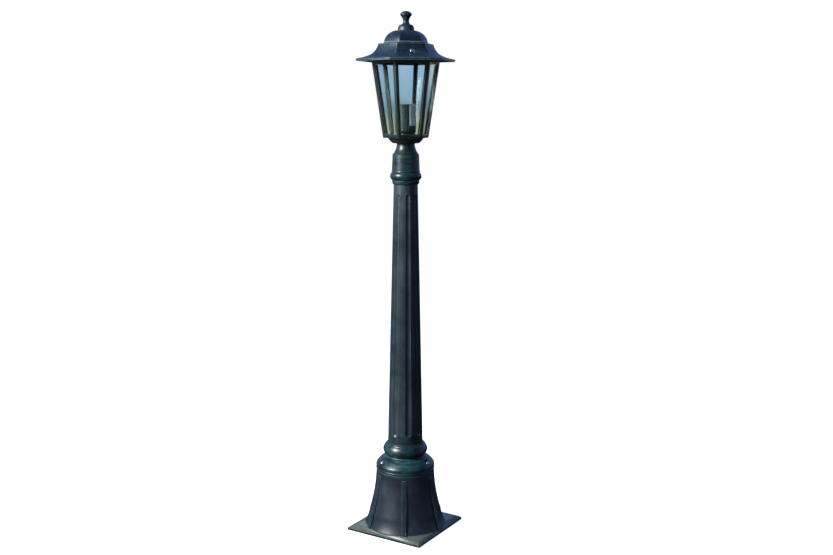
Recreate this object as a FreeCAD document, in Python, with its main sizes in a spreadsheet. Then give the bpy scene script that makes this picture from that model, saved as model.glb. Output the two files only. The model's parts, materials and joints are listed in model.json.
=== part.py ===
import FreeCAD, Part

# A cast aluminium garden post lantern: a square plate and bell pedestal, a fluted post, and a
# six-sided glazed lantern whose roof lifts off.
# Millimetres and degrees. The origin is the middle of the plate's underside, +Z is up, and the
# plate's sides run along X and Y. Every shape is drawn about the post's axis.

import math
import os
import Sketcher

Vector = FreeCAD.Vector
UP = Vector(0, 0, 1)

# The driving dimensions: name, number, what it measures.
SIZES = [
    ("plate_side", 174.0, "square plate, side"),
    ("plate_edge", 4.5, "plate's upright edge"),
    ("bevel_run", 6.0, "plate's bevel, inwards"),
    ("bevel_rise", 4.0, "plate's bevel, upwards"),
    ("plate_mouth_radius", 70.0, "round opening in the plate"),
    ("cast_wall", 4.0, "wall of the pedestal casting"),
    ("bell_foot_radius", 83.6, "bell at its foot"),
    ("bell_foot_edge", 1.2, "upright edge at the bell's foot"),
    ("bell_sweep_radius", 78.4, "bell half way up its flared foot"),
    ("bell_sweep_height", 20.5, "height of that point"),
    ("bell_knee_radius", 74.2, "bell where its flared foot ends"),
    ("bell_knee_height", 37.0, "height of that point"),
    ("bell_waist_radius", 65.4, "bell a little under half way up"),
    ("bell_waist_height", 74.0, "height of that point"),
    ("bell_top_radius", 60.0, "bell at its top"),
    ("pedestal_height", 126.0, "underside of the plate to the bell's top"),
    ("pedestal_web", 8.0, "thickness of the bell's closed top"),
    ("rib_width", 9.0, "raised rib on the bell"),
    ("rib_toe_proud", 2.8, "how far a rib stands out at the bell's foot"),
    ("rib_foot_proud", 4.0, "how far a rib stands out above the flare"),
    ("rib_top_proud", 1.2, "how far a rib stands out at the top"),
    ("rib_top_drop", 9.0, "rib's end below the bell's top"),
    ("shoulder_height", 31.0, "domed shoulder, bell top to ring"),
    ("shoulder_radius", 60.5, "shoulder at its widest"),
    ("shoulder_neck_radius", 40.2, "shoulder at its top"),
    ("bead_height", 6.0, "small bead under the shoulder"),
    ("spigot_radius", 30.0, "shoulder's spigot in the bell's top"),
    ("spigot_wall", 5.0, "wall of that spigot"),
    ("spigot_depth", 7.0, "length of that spigot"),
    ("fit_gap", 0.15, "clearance where one casting enters another"),
    ("screw_circle_radius", 53.0, "shoulder screws from the axis"),
    ("shoulder_screw_radius", 2.5, "shoulder screw, shank"),
    ("shoulder_head_radius", 4.6, "shoulder screw, head"),
    ("shoulder_head_height", 3.4, "shoulder screw, head"),
    ("shoulder_seat_drop", 14.0, "screw seat below the shoulder's top"),
    ("hole_gap", 0.2, "clearance round a screw's shank"),
    ("head_gap", 0.7, "clearance round a screw's head"),
    ("ring_height", 24.5, "round ring on the shoulder"),
    ("ring_radius", 46.0, "that ring at its widest"),
    ("ring_top_radius", 38.2, "that ring at its top"),
    ("shaft_foot_radius", 36.0, "fluted post at its foot"),
    ("shaft_head_radius", 24.1, "fluted post at its head"),
    ("shaft_length", 533.5, "fluted post between the ring and the crown"),
    ("shaft_wall", 4.5, "wall of the fluted post"),
    ("shaft_foot_depth", 21.0, "post inside the shoulder"),
    ("shaft_head_depth", 6.0, "post inside the crown"),
    ("shaft_turn", -3.5, "first flute from +X"),
    ("foot_bead", 1.0, "small bead round the post's foot"),
    ("flute_count", 8, "flutes round the post"),
    ("flute_foot_radius", 12.0, "flute's hollow at the foot"),
    ("flute_head_radius", 7.2, "flute's hollow at the head"),
    ("flute_foot_sink", 2.5, "flute's depth at the foot"),
    ("flute_head_sink", 1.9, "flute's depth at the head"),
    ("flute_foot_clear", 26.0, "flute's lower end above the ring"),
    ("flute_head_clear", 24.0, "flute's upper end below the crown"),
    ("crown_height", 61.5, "round crown on the post"),
    ("crown_wall", 3.75, "wall of the crown round the post's head"),
    ("crown_taper", 1.6, "how far the crown's body draws in at its top"),
    ("crown_ring_proud", 3.4, "how far the crown's ring stands out"),
    ("crown_chamfer", 2.4, "crown's top edge"),
    ("crown_bore_radius", 14.0, "hollow through the crown"),
    ("washer_gasket", 1.2, "rubber washer between crown and fitter"),
    ("fitter_height", 28.8, "lantern's trumpet neck and pan"),
    ("fitter_foot_radius", 23.4, "neck at its foot"),
    ("fitter_waist_radius", 17.9, "neck at its waist"),
    ("pan_radius", 35.2, "pan at its rim"),
    ("pan_floor_radius", 26.4, "pan at its floor"),
    ("pan_height", 10.4, "pan, from floor to rim, outside"),
    ("pan_rim", 9.0, "width of the pan's rim"),
    ("pan_floor", 4.0, "thickness of the pan's floor"),
    ("hex_flat", 0.8660254, "across flats over across corners of a hexagon"),
    ("hex_half_side", 0.5773503, "half a side over the flat's distance"),
    ("lantern_turn", -16.0, "lantern's first corner from +X"),
    ("cage_height", 146.2, "glazed cage"),
    ("cage_foot_radius", 46.0, "cage's corners at the foot"),
    ("cage_head_radius", 68.1, "cage's corners at the head"),
    ("cage_wall", 3.0, "wall of the cage casting"),
    ("cage_floor", 3.0, "floor of the cage"),
    ("cage_mouth_radius", 26.0, "round opening in the cage's floor"),
    ("sill_height", 7.0, "window's lower edge above the cage's foot"),
    ("lintel_height", 3.8, "window's upper edge below the cage's head"),
    ("post_foot_leg", 5.4, "corner post's leg beside the window, foot"),
    ("post_head_leg", 6.4, "corner post's leg beside the window, head"),
    ("pane_thickness", 3.0, "window glass"),
    ("pane_gap", 0.2, "clearance round a pane"),
    ("glazing_bead_radius", 2.3, "rubber cord in each inside corner"),
    ("rail_leg_height", 2.5, "leg that joins a roof tab to the head rail"),
    ("tab_face", 45.4, "outer face of a roof tab from the axis"),
    ("tab_thickness", 2.5, "roof tab"),
    ("tab_width", 15.0, "roof tab"),
    ("tab_height", 23.0, "roof tab above the cage's head"),
    ("tab_slot_width", 5.2, "open slot in a roof tab"),
    ("seal_thickness", 1.6, "seal between cage and roof"),
    ("seal_inner", 53.6, "seal's inner flat from the axis"),
    ("seal_outer", 57.6, "seal's outer flat from the axis"),
    ("brim_flat", 86.2, "roof's brim, flat from the axis"),
    ("brim_edge", 3.4, "roof's brim, upright edge"),
    ("roof_height", 34.0, "roof from the seal to the dome's foot"),
    ("ledge_flat", 47.8, "roof's ledge, flat from the axis"),
    ("roof_wall", 2.8, "wall of the roof casting"),
    ("seat_inner", 52.6, "roof's seat on the seal, inner flat"),
    ("seat_outer", 60.0, "roof's seat on the seal, outer flat"),
    ("brim_sink", 2.0, "wall over the hollow in the brim"),
    ("dome_flat", 39.0, "dome at its foot, flat from the axis"),
    ("dome_height", 24.6, "dome above the roof's ledge"),
    ("dome_top_flat", 18.0, "dome's flat top"),
    ("dome_wall", 2.6, "wall of the dome"),
    ("roof_mouth_flat", 33.0, "opening between roof and dome"),
    ("finial_height", 37.1, "finial"),
    ("finial_collar_radius", 16.0, "finial's collar"),
    ("finial_neck_radius", 5.8, "finial's neck"),
    ("finial_knob_radius", 11.4, "finial's knob"),
    ("stud_radius", 3.0, "finial's stud"),
    ("stud_grip", 9.0, "stud inside the finial"),
    ("stud_gap", 0.1, "clearance round the stud"),
    ("stud_nut_radius", 5.8, "nut on the stud, corners"),
    ("stud_nut_height", 4.0, "nut on the stud"),
    ("strap_length", 84.0, "steel strap under the roof"),
    ("strap_width", 14.0, "steel strap under the roof"),
    ("strap_thickness", 2.0, "steel strap under the roof"),
    ("roof_screw_height", 17.8, "roof screws above the cage's head seal"),
    ("roof_screw_radius", 2.0, "roof screw, shank"),
    ("roof_head_radius", 3.6, "roof screw, head"),
    ("roof_head_height", 2.4, "roof screw, head"),
    ("roof_seat_flat", 52.8, "roof screw's seat from the axis"),
    ("boss_radius", 4.6, "boss inside the roof round a screw"),
    ("slip_gap", 0.3, "clearance between lifting and standing pieces"),
    ("roof_nut_radius", 4.0, "nut behind a tab, corners"),
    ("roof_nut_height", 3.2, "nut behind a tab"),
    ("holder_radius", 20.0, "lamp holder, outside"),
    ("holder_height", 60.3, "lamp holder above its bridge"),
    ("holder_base_radius", 15.0, "lamp holder, base"),
    ("holder_floor_height", 26.0, "holder's base, up to the skirt"),
    ("holder_skirt_radius", 16.0, "bore of the holder's skirt"),
    ("contact_radius", 6.6, "centre contact"),
    ("contact_sink", 3.4, "recess for the centre contact"),
    ("socket_radius", 13.3, "screw shell, inside"),
    ("shell_wall", 0.9, "screw shell"),
    ("shell_height", 26.0, "screw shell"),
    ("bridge_thickness", 2.0, "steel bridge under the holder"),
    ("bridge_length", 66.0, "steel bridge"),
    ("bridge_width", 18.0, "steel bridge"),
    ("bridge_hole_radius", 6.0, "hole for the flex in the bridge"),
    ("rim_screw_reach", 29.5, "cage screws from the axis"),
    ("rim_screw_radius", 2.0, "cage screw, shank"),
    ("rim_head_radius", 3.3, "cage screw, head"),
    ("rim_head_height", 2.2, "cage screw, head"),
    ("rim_screw_depth", 5.5, "cage screw below the cage's foot"),
    ("holder_screw_reach", 11.0, "holder screws from the axis"),
    ("holder_screw_radius", 1.5, "holder screw, shank"),
    ("holder_screw_head", 2.7, "holder screw, head radius"),
    ("holder_screw_depth", 6.0, "holder screw inside the holder"),
    ("tube_radius", 8.0, "threaded tie tube, outside"),
    ("tube_bore_radius", 5.6, "threaded tie tube, bore"),
    ("tube_gap", 0.3, "clearance round the tie tube"),
    ("tie_nut_radius", 12.6, "nut on the tie tube, corners"),
    ("tie_nut_height", 4.6, "nut on the tie tube"),
    ("tie_washer_radius", 15.0, "washer on the tie tube"),
    ("tie_washer_height", 1.5, "washer on the tie tube"),
    ("yoke_height", 98.0, "steel yoke inside the bell"),
    ("yoke_span", 60.0, "yoke, across its legs"),
    ("yoke_width", 40.0, "yoke's strap"),
    ("yoke_thickness", 3.0, "yoke's strap"),
    ("foot_length", 27.0, "yoke's foot beyond its leg"),
    ("anchor_x", 84.0, "anchor holes, along X"),
    ("anchor_y", 24.0, "anchor holes, along Y"),
    ("anchor_radius", 3.5, "anchor holes"),
    ("tube_below_yoke", 10.0, "tie tube under the yoke's top"),
    ("terminal_length", 32.0, "terminal block"),
    ("terminal_depth", 14.0, "terminal block"),
    ("terminal_height", 16.0, "terminal block"),
    ("terminal_lift", 16.0, "terminal block above the ground"),
    ("terminal_pitch", 9.5, "wire entries of the terminal block"),
    ("flex_radius", 3.2, "inner flex"),
    ("label_thickness", 0.6, "blank plate on the holder"),
    ("label_height", 40.0, "blank plate on the holder"),
    ("label_span", 50.0, "blank plate on the holder, angle"),
    ("label_turn", -37.0, "blank plate's start from +X"),
]

document = FreeCAD.newDocument("post_lantern")
sheet = document.addObject("Spreadsheet::Sheet", "sizes")
finished = []


def fill_sheet():
    """Writes the driving dimensions into the spreadsheet, one named row each."""
    for row, (alias, number, meaning) in enumerate(SIZES, start=1):
        sheet.set("A%d" % row, meaning)
        sheet.set("B%d" % row, repr(number))
        sheet.setAlias("B%d" % row, alias)
    document.recompute()


class Size:
    """A size with its number and the spreadsheet expression that gives it."""

    def __init__(self, number, text):
        self.number = float(number)
        self.text = text

    def joined(self, other, sign, number):
        other_text = other.text if isinstance(other, Size) else repr(float(other))
        return Size(number, "(%s %s %s)" % (self.text, sign, other_text))

    def __add__(self, other):
        return self.joined(other, "+", self.number + number_of(other))

    def __sub__(self, other):
        return self.joined(other, "-", self.number - number_of(other))

    def __mul__(self, other):
        return self.joined(other, "*", self.number * number_of(other))

    def __truediv__(self, other):
        return self.joined(other, "/", self.number / number_of(other))

    def __neg__(self):
        return Size(-self.number, "(0 - %s)" % self.text)


def number_of(value):
    """The plain number of a Size, or of a number."""
    return value.number if isinstance(value, Size) else float(value)


class Cells:
    """Gives each spreadsheet cell as a Size by its alias."""

    def __init__(self):
        self.known = {alias: number for alias, number, _ in SIZES}

    def __getattr__(self, alias):
        return Size(self.known[alias], "sizes." + alias)


cell = Cells()
ZERO = Size(0, "0")


def bind(thing, prop, value):
    """Sets a property, and ties it to the spreadsheet when the value is a Size."""
    if isinstance(value, Size):
        thing.setExpression(prop, value.text)
    else:
        setattr(thing, prop, value)


def lift(thing, height=None, across=None, along=None, turn=None):
    """Places an object: height on Z, across on X, along on Y, and a turn about Z."""
    for axis, value in (("x", across), ("y", along), ("z", height)):
        if value is not None:
            thing.setExpression("Placement.Base." + axis, value.text)
    if turn is not None:
        turned_to = FreeCAD.Rotation(UP, 10)
        thing.Placement = FreeCAD.Placement(thing.Placement.Base, turned_to)
        thing.setExpression("Placement.Rotation.Angle", turn.text)
    return thing


def keep(thing, label):
    """Names a finished sub-part and puts it on the list to be written."""
    thing.Label = label
    finished.append(thing)
    return thing


class Through:
    """A point that an outline's round stretch passes through on its way to the next corner."""

    def __init__(self, across, height):
        self.point = (across, height)


def as_size(value):
    return value if isinstance(value, Size) else Size(value, repr(float(value)))


def plain(point):
    return Vector(number_of(point[0]), number_of(point[1]), 0)


def fix_point(sketch, geometry, end, point):
    """Ties one point of a sketch to its two sizes."""
    for kind, value in (("DistanceX", point[0]), ("DistanceY", point[1])):
        number = sketch.addConstraint(Sketcher.Constraint(kind, geometry, end, number_of(value)))
        sketch.setExpression("Constraints[%d]" % number, as_size(value).text)


def draw_outline(sketch, outline):
    """Draws a closed outline of corners and Through points, every point tied to the sheet."""
    corners = []
    bends = {}
    for item in outline:
        if isinstance(item, Through):
            bends[len(corners) - 1] = item.point
        else:
            corners.append(item)
    ends = []
    for index, corner in enumerate(corners):
        start = plain(corner)
        stop = plain(corners[(index + 1) % len(corners)])
        if index not in bends:
            sketch.addGeometry(Part.LineSegment(start, stop), False)
            ends.append((1, 2))
            continue
        middle = plain(bends[index])
        anticlockwise = (middle - start).cross(stop - middle).z > 0
        if anticlockwise:
            sketch.addGeometry(Part.Arc(start, middle, stop), False)
            ends.append((1, 2))
        else:
            sketch.addGeometry(Part.Arc(stop, middle, start), False)
            ends.append((2, 1))
    for index, corner in enumerate(corners):
        following = (index + 1) % len(corners)
        joint = Sketcher.Constraint("Coincident", index, ends[index][1], following, ends[following][0])
        sketch.addConstraint(joint)
        fix_point(sketch, index, ends[index][0], corner)
    for index, point in bends.items():
        mark = sketch.addGeometry(Part.Point(plain(point)), True)
        sketch.addConstraint(Sketcher.Constraint("PointOnObject", mark, 1, index))
        fix_point(sketch, mark, 1, point)


def turned(name, outline, sweep=360.0):
    """A body turned about Z from an outline of (radius, height) points."""
    body = document.addObject("PartDesign::Body", name)
    plane = [item for item in body.Origin.OriginFeatures if item.Role == "XZ_Plane"][0]
    sketch = body.newObject("Sketcher::SketchObject", name + "_outline")
    sketch.AttachmentSupport = [(plane, "")]
    sketch.MapMode = "FlatFace"
    draw_outline(sketch, outline)
    turn = body.newObject("PartDesign::Revolution", name + "_turn")
    turn.Profile = sketch
    turn.ReferenceAxis = (sketch, ["V_Axis"])
    bind(turn, "Angle", sweep)
    return body


def cylinder(name, radius, height, base=None):
    """A round bar on Z, standing at the height given."""
    bar = document.addObject("Part::Cylinder", name)
    bind(bar, "Radius", radius)
    bind(bar, "Height", height)
    if base is not None:
        lift(bar, height=base)
    return bar


def box(name, length, width, height):
    """A block centred on X and Y, standing on Z = 0 until it is lifted."""
    block = document.addObject("Part::Box", name)
    bind(block, "Length", length)
    bind(block, "Width", width)
    bind(block, "Height", height)
    return lift(block, across=-as_size(length) / 2, along=-as_size(width) / 2)


def hexagon_bar(name, corner_radius, height, base):
    """A six-sided bar on Z, such as a nut's blank."""
    return frustum(name, 6, corner_radius, base, corner_radius, base + height)


def ring_of_corners(name, sides, corner_radius, height):
    ring = document.addObject("Part::RegularPolygon", name)
    ring.Polygon = sides
    bind(ring, "Circumradius", corner_radius)
    return lift(ring, height=height)


def frustum(name, sides, low_radius, low, high_radius, high):
    """A straight-sided solid between two regular polygons, sizes given at the corners."""
    foot = ring_of_corners(name + "_foot", sides, low_radius, low)
    head = ring_of_corners(name + "_head", sides, high_radius, high)
    solid = document.addObject("Part::Loft", name)
    solid.Sections = [foot, head]
    solid.Solid = True
    solid.Ruled = True
    return solid


def cut(name, base, tool):
    result = document.addObject("Part::Cut", name)
    result.Base = base
    result.Tool = tool
    return result


def fuse(name, pieces):
    result = document.addObject("Part::MultiFuse", name)
    result.Shapes = pieces
    return result


def common(name, pieces):
    result = document.addObject("Part::MultiCommon", name)
    result.Shapes = pieces
    return result


def group(name, pieces):
    """Several separate solids that share one node."""
    result = document.addObject("Part::Compound", name)
    result.Links = pieces
    return result


def around(thing, count, reach, first=0.0, height=None, name=None):
    """Copies of an object at even angles about Z, each moved out along its own direction."""
    copies = []
    for index in range(int(count)):
        angle = first + 360.0 / count * index
        copy = document.addObject("Part::Compound", "%s_%d" % (name or thing.Name, index + 1))
        copy.Links = [thing]
        copy.Placement = FreeCAD.Placement(Vector(0, 0, 0), FreeCAD.Rotation(UP, angle))
        direction = FreeCAD.Rotation(UP, angle).multVec(Vector(1, 0, 0))
        reach_size = as_size(reach)
        copy.setExpression("Placement.Base.x", (reach_size * round(direction.x, 9)).text)
        copy.setExpression("Placement.Base.y", (reach_size * round(direction.y, 9)).text)
        if height is not None:
            copy.setExpression("Placement.Base.z", height.text)
        copies.append(copy)
    return copies


def radial(name, radius, near, far, height):
    """A round bar lying along X from near to far, at a height."""
    bar = document.addObject("Part::Cylinder", name)
    bind(bar, "Radius", radius)
    bind(bar, "Height", far - near)
    bar.Placement = FreeCAD.Placement(Vector(0, 0, 0), FreeCAD.Rotation(Vector(0, 1, 0), 90))
    return lift(bar, height=height, across=near)


fill_sheet()

# The levels of the stack, each worked out from the piece below it.
PLATE_TOP = cell.plate_edge + cell.bevel_rise
PLATE_CORNER = cell.plate_side * 0.70710678
PEDESTAL_TOP = cell.pedestal_height
RING_FOOT = PEDESTAL_TOP + cell.shoulder_height
SHAFT_FOOT = RING_FOOT + cell.ring_height
CROWN_FOOT = SHAFT_FOOT + cell.shaft_length
CROWN_TOP = CROWN_FOOT + cell.crown_height
FITTER_FOOT = CROWN_TOP + cell.washer_gasket
CAGE_FOOT = FITTER_FOOT + cell.fitter_height
CAGE_HEAD = CAGE_FOOT + cell.cage_height
ROOF_FOOT = CAGE_HEAD + cell.seal_thickness
DOME_FOOT = ROOF_FOOT + cell.roof_height
FINIAL_FOOT = DOME_FOOT + cell.dome_height
BRIDGE_TOP = CAGE_FOOT + cell.cage_floor + cell.bridge_thickness
PAN_FLOOR_TOP = CAGE_FOOT - cell.pan_height + cell.pan_floor
ROOF_SCREW_LEVEL = ROOF_FOOT + cell.roof_screw_height


def bell_outline(proud_toe, proud_foot, proud_top, top, foot):
    """The bell's flared side from foot to top, standing proud of the bare bell by three amounts."""
    toe = cell.bell_foot_radius + proud_toe
    sweep = cell.bell_sweep_radius + (proud_toe + proud_foot) / 2
    knee = cell.bell_knee_radius + proud_foot
    waist = cell.bell_waist_radius + (proud_foot + proud_top) / 2
    return [
        (toe, foot), (toe, PLATE_TOP + cell.bell_foot_edge), Through(sweep, cell.bell_sweep_height),
        (knee, cell.bell_knee_height), Through(waist, cell.bell_waist_height),
        (cell.bell_top_radius + proud_top, top)]


def pedestal():
    """Plate and ribbed bell, one hollow casting open below."""
    side = bell_outline(ZERO, ZERO, ZERO, PEDESTAL_TOP, ZERO)
    bell = turned("bell_solid", side + [(ZERO, PEDESTAL_TOP), (ZERO, ZERO)])
    rib_top = PEDESTAL_TOP - cell.rib_top_drop
    ribbed = bell_outline(cell.rib_toe_proud, cell.rib_foot_proud, cell.rib_top_proud, rib_top, ZERO)
    envelope = turned("rib_envelope", ribbed + [(ZERO, rib_top), (ZERO, ZERO)])
    bar = box("rib_bar", cell.plate_side, cell.rib_width, PEDESTAL_TOP)
    bars = fuse("rib_bars", around(bar, 3, ZERO, name="rib_bar_at"))
    ribs = common("ribs", [envelope, bars])
    slab = frustum("plate_slab", 4, PLATE_CORNER, ZERO, PLATE_CORNER, cell.plate_edge)
    inner_corner = (cell.plate_side - cell.bevel_run * 2) * 0.70710678
    bevel = frustum("plate_bevel", 4, PLATE_CORNER, cell.plate_edge, inner_corner, PLATE_TOP)
    plate = lift(fuse("plate", [slab, bevel]), turn=Size(45, "45"))
    wall = -cell.cast_wall
    hollow_top = PEDESTAL_TOP - cell.pedestal_web
    hollow_side = bell_outline(wall, wall, wall, hollow_top, PLATE_TOP)
    mouth = [(cell.plate_mouth_radius, ZERO), (cell.plate_mouth_radius, PLATE_TOP)]
    hollow = turned("bell_hollow", mouth + hollow_side + [(ZERO, hollow_top), (ZERO, ZERO)])
    eye = cylinder("pedestal_eye", cell.spigot_radius + cell.fit_gap, cell.pedestal_web * 3, hollow_top)
    thread = cylinder("pedestal_thread", cell.shoulder_screw_radius, cell.pedestal_web * 2)
    threads = around(thread, 3, cell.screw_circle_radius, height=hollow_top - 1, name="pedestal_thread_at")
    casting = fuse("pedestal_solid", [bell, ribs, plate])
    openings = fuse("pedestal_openings", [hollow, eye] + threads)
    keep(cut("pedestal_casting", casting, openings), "pedestal")


def screw_level():
    return RING_FOOT - cell.shoulder_seat_drop


def shoulder():
    """Domed flange on the bell, with the socket that takes the post's foot."""
    low = PEDESTAL_TOP
    bead = low + cell.bead_height
    socket = cell.shaft_foot_radius + cell.fit_gap
    floor = RING_FOOT - cell.shaft_foot_depth
    spigot = low - cell.spigot_depth
    wide = cell.shoulder_radius
    outline = [
        (cell.spigot_radius - cell.spigot_wall, spigot), (cell.spigot_radius, spigot),
        (cell.spigot_radius, low), (wide - 1.2, low), (wide - 1.2, low + 1.2),
        Through(wide + 0.2, low + cell.bead_height / 2),
        (wide - 1.2, bead - 0.8), (wide - 1.2, bead + 0.6), (wide - 0.3, bead + 1.0),
        Through(wide, bead + 4.0), (wide - 1.6, bead + 8.0),
        Through(wide - 7.6, bead + 14.6), (cell.shoulder_neck_radius + 1.4, RING_FOOT - 2.6),
        Through(cell.shoulder_neck_radius + 0.9, RING_FOOT - 0.9),
        (cell.shoulder_neck_radius - 0.6, RING_FOOT),
        (socket, RING_FOOT), (socket, floor), (cell.spigot_radius - cell.spigot_wall, floor),
    ]
    dome = turned("shoulder_dome", outline)
    hole = cylinder("shoulder_hole", cell.shoulder_screw_radius + cell.hole_gap, cell.shoulder_height * 2)
    holes = around(hole, 3, cell.screw_circle_radius, height=low - 5, name="shoulder_hole_at")
    seat = cylinder("shoulder_seat", cell.shoulder_head_radius + cell.head_gap, cell.shoulder_height)
    seats = around(seat, 3, cell.screw_circle_radius, height=screw_level(), name="shoulder_seat_at")
    keep(cut("shoulder_casting", dome, fuse("shoulder_openings", holes + seats)), "shoulder_flange")


def pan_screw(name, shank_radius, shank, head_radius, head):
    """A round-headed screw standing on Z, its head's underside at Z = 0, with a hexagon recess."""
    crown_point = Through(head_radius * 0.72, head * 0.86)
    outline = [(ZERO, -shank), (shank_radius, -shank), (shank_radius, ZERO), (head_radius, ZERO),
               (head_radius, head * 0.3), crown_point, (ZERO, head)]
    blank = turned(name + "_blank", outline)
    recess = hexagon_bar(name + "_recess", head_radius * 0.5, head, head * 0.4)
    return cut(name, blank, recess)


def shoulder_screws():
    length = screw_level() - PEDESTAL_TOP + cell.pedestal_web * 0.9
    screw = pan_screw("shoulder_screw", cell.shoulder_screw_radius - 0.05, length,
                      cell.shoulder_head_radius, cell.shoulder_head_height)
    screws = around(screw, 3, cell.screw_circle_radius, height=screw_level(), name="shoulder_screw_at")
    keep(group("shoulder_screw_set", screws), "shoulder_screws")


def foot_ring():
    """Round moulding that the post's foot passes through."""
    bore = cell.shaft_foot_radius + cell.fit_gap
    low = RING_FOOT
    high = SHAFT_FOOT
    outline = [
        (bore, low), (cell.shoulder_neck_radius - 1.2, low), Through(cell.ring_radius - 1.7, low + 5.4),
        (cell.ring_radius, low + cell.ring_height * 0.44), Through(cell.ring_radius - 2.2, high - 6.8),
        (cell.ring_top_radius + 1.6, high - 1.4), (cell.ring_top_radius + 0.6, high - 1.9),
        Through(cell.ring_top_radius, high - 1.1), (cell.ring_top_radius - 0.4, high), (bore, high),
    ]
    keep(turned("foot_ring_casting", outline), "foot_ring")


def flute_cutter():
    """A tapered round-ended bar lying just under the post's tapered surface."""
    low = SHAFT_FOOT + cell.flute_foot_clear
    high = CROWN_FOOT - cell.flute_head_clear
    taper = (cell.shaft_foot_radius - cell.shaft_head_radius) / cell.shaft_length
    low_surface = cell.shaft_foot_radius - taper * cell.flute_foot_clear
    high_surface = cell.shaft_head_radius + taper * cell.flute_head_clear
    low_reach = low_surface + cell.flute_foot_radius - cell.flute_foot_sink
    high_reach = high_surface + cell.flute_head_radius - cell.flute_head_sink
    ends = []
    for name, reach, height, radius in (("flute_foot", low_reach, low, cell.flute_foot_radius),
                                        ("flute_head", high_reach, high, cell.flute_head_radius)):
        end = document.addObject("Part::Sphere", name)
        bind(end, "Radius", radius)
        ends.append(lift(end, height=height, across=reach))
    sections = []
    for name, reach, height, radius in (("flute_low", low_reach, low, cell.flute_foot_radius),
                                        ("flute_high", high_reach, high, cell.flute_head_radius)):
        circle = document.addObject("Part::Circle", name)
        bind(circle, "Radius", radius)
        sections.append(lift(circle, height=height, across=reach))
    bar = document.addObject("Part::Loft", "flute_bar")
    bar.Sections = sections
    bar.Solid = True
    bar.Ruled = True
    return fuse("flute_cutter", ends + [bar])


def shaft():
    """Fluted, tapered and hollow post."""
    low = RING_FOOT - cell.shaft_foot_depth
    high = CROWN_FOOT + cell.shaft_head_depth
    foot = cell.shaft_foot_radius
    head = cell.shaft_head_radius
    wall = cell.shaft_wall
    bead = SHAFT_FOOT + cell.foot_bead * 2
    outline = [
        (foot - wall, low), (foot, low), (foot, SHAFT_FOOT),
        Through(foot + cell.foot_bead, SHAFT_FOOT + cell.foot_bead), (foot, bead),
        (head, CROWN_FOOT), (head, high), (head - wall, high), (head - wall, CROWN_FOOT), (foot - wall, bead),
    ]
    bar = turned("shaft_bar", outline)
    flutes = around(flute_cutter(), cell.flute_count.number, ZERO, name="flute_at")
    post = cut("shaft_fluted", bar, fuse("flutes", flutes))
    keep(lift(post, turn=cell.shaft_turn), "fluted_shaft")


def crown():
    """Round capital on the post, with a ring and two small beads."""
    low = CROWN_FOOT
    top = CROWN_TOP
    inner = cell.shaft_head_radius + cell.fit_gap
    body = inner + cell.crown_wall
    ring = body + cell.crown_ring_proud
    head = body - cell.crown_taper
    outline = [
        (inner, low), (body - 2.6, low), Through(body - 1.1, low + 3.6), (body - 0.9, low + 7.4),
        (body - 0.2, low + 8.6), Through(ring, low + 15.8), (body + 0.4, low + 23.0),
        (body - 0.2, low + 24.0), Through(body + 0.4, low + 25.6), (body - 0.2, low + 27.2),
        (head, top - cell.crown_chamfer), (head - cell.crown_chamfer, top), (cell.crown_bore_radius, top),
        (cell.crown_bore_radius, low + cell.shaft_head_depth + 4.0), (inner, low + cell.shaft_head_depth),
    ]
    keep(turned("crown_casting", outline), "crown")


def crown_washer():
    ring = turned("crown_washer_ring", [
        (cell.tube_radius + 1.0, CROWN_TOP), (cell.fitter_foot_radius - 0.8, CROWN_TOP),
        (cell.fitter_foot_radius - 0.8, FITTER_FOOT), (cell.tube_radius + 1.0, FITTER_FOOT)])
    eye = cylinder("crown_washer_eye", cell.crown_bore_radius, 4.0, CROWN_TOP - 1)
    keep(cut("crown_washer_cut", ring, eye), "crown_gasket")


def fitter():
    """Trumpet neck and shallow pan that carry the cage."""
    low = FITTER_FOOT
    rim = CAGE_FOOT
    floor = rim - cell.pan_height
    eye = cell.tube_radius + cell.tube_gap
    pan_inner = cell.pan_radius - cell.pan_rim
    waist = floor - 2.2
    outline = [
        (eye, low + 2.0), (cell.crown_bore_radius - 0.5, low), (cell.fitter_foot_radius, low),
        Through(cell.fitter_waist_radius + 1.3, low + 8.4), (cell.fitter_waist_radius, waist),
        Through(cell.fitter_waist_radius + 0.6, floor - 0.8), (cell.fitter_waist_radius + 1.6, floor),
        (cell.pan_floor_radius, floor), Through(cell.pan_radius - 3.5, floor + 4.9), (cell.pan_radius, rim),
        (pan_inner, rim), (pan_inner - 1.0, PAN_FLOOR_TOP), (eye, PAN_FLOOR_TOP),
    ]
    casting = turned("fitter_casting", outline)
    thread = cylinder("fitter_thread", cell.rim_screw_radius, cell.rim_screw_depth + 0.6)
    thread_foot = rim - cell.rim_screw_depth - 0.3
    threads = around(thread, 4, cell.rim_screw_reach, height=thread_foot, name="fitter_thread_at")
    drilled = cut("fitter_drilled", casting, fuse("fitter_threads", threads))
    keep(lift(drilled, turn=cell.lantern_turn), "lantern_fitter")


def cage_flat(height_above_foot):
    """The cage's outer flat from the axis at a height above its foot."""
    growth = (cell.cage_head_radius - cell.cage_foot_radius) / cell.cage_height
    return (cell.cage_foot_radius + growth * height_above_foot) * cell.hex_flat


def hexagon_layer(name, inset, low, high):
    """The cage's outer shape pulled in by an inset, between two heights above its foot."""
    low_radius = (cage_flat(low) - inset) / cell.hex_flat
    high_radius = (cage_flat(high) - inset) / cell.hex_flat
    return frustum(name, 6, low_radius, CAGE_FOOT + low, high_radius, CAGE_FOOT + high)


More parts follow.
